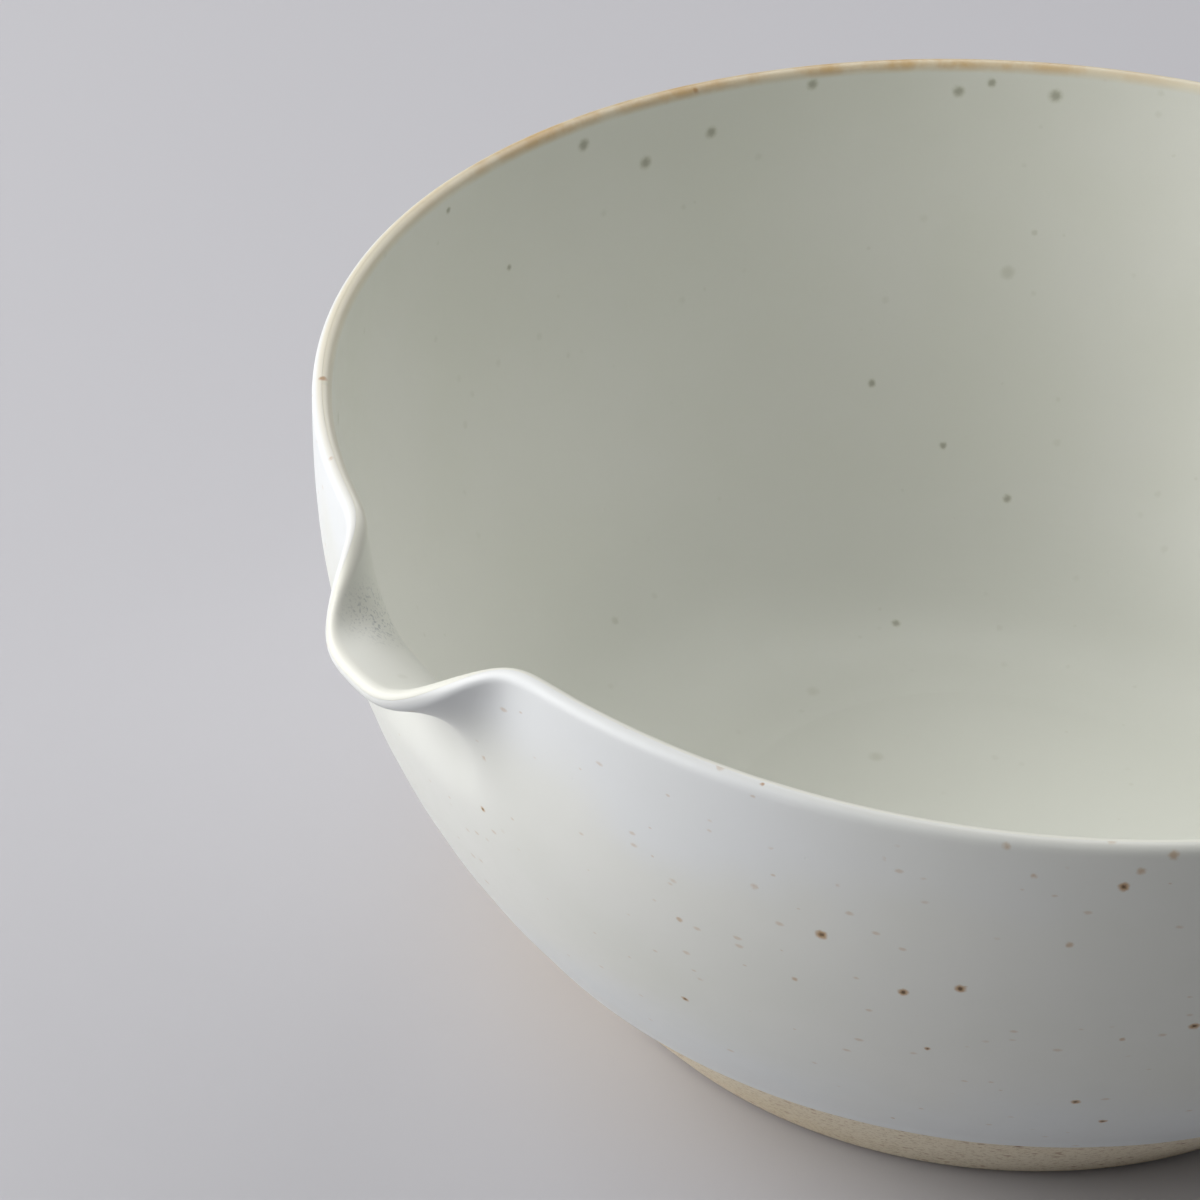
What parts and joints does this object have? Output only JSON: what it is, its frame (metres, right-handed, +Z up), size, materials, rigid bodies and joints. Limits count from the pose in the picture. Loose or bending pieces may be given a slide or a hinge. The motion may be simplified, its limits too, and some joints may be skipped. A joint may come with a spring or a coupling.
{
  "type": "stoneware pouring bowl",
  "caption": "Round thrown stoneware bowl with a small pulled pouring lip, pale speckled satin glaze inside and out, and a bare trimmed clay foot.",
  "frame": {"origin": "on the bowl's axis, in the plane of the foot ring that it stands on", "axes": "+Z up along the bowl's axis; the pulled lip points along -Y; +X is to the right of someone who faces the lip from outside"},
  "size_m": [0.25, 0.2598, 0.11],
  "materials": {
    "bare_clay": "unglazed, fine sandy grain with rusty brown specks",
    "liner_glaze": "satin glaze, greenish grey white, a few soft iron specks",
    "outer_glaze": "satin glaze, cool white, fine brown iron specks"
  },
  "bodies": {
    "root": {"stoneware_body": "bare_clay", "liner_glaze": "liner_glaze", "outer_glaze": "outer_glaze"}
  },
  "joints": []
}
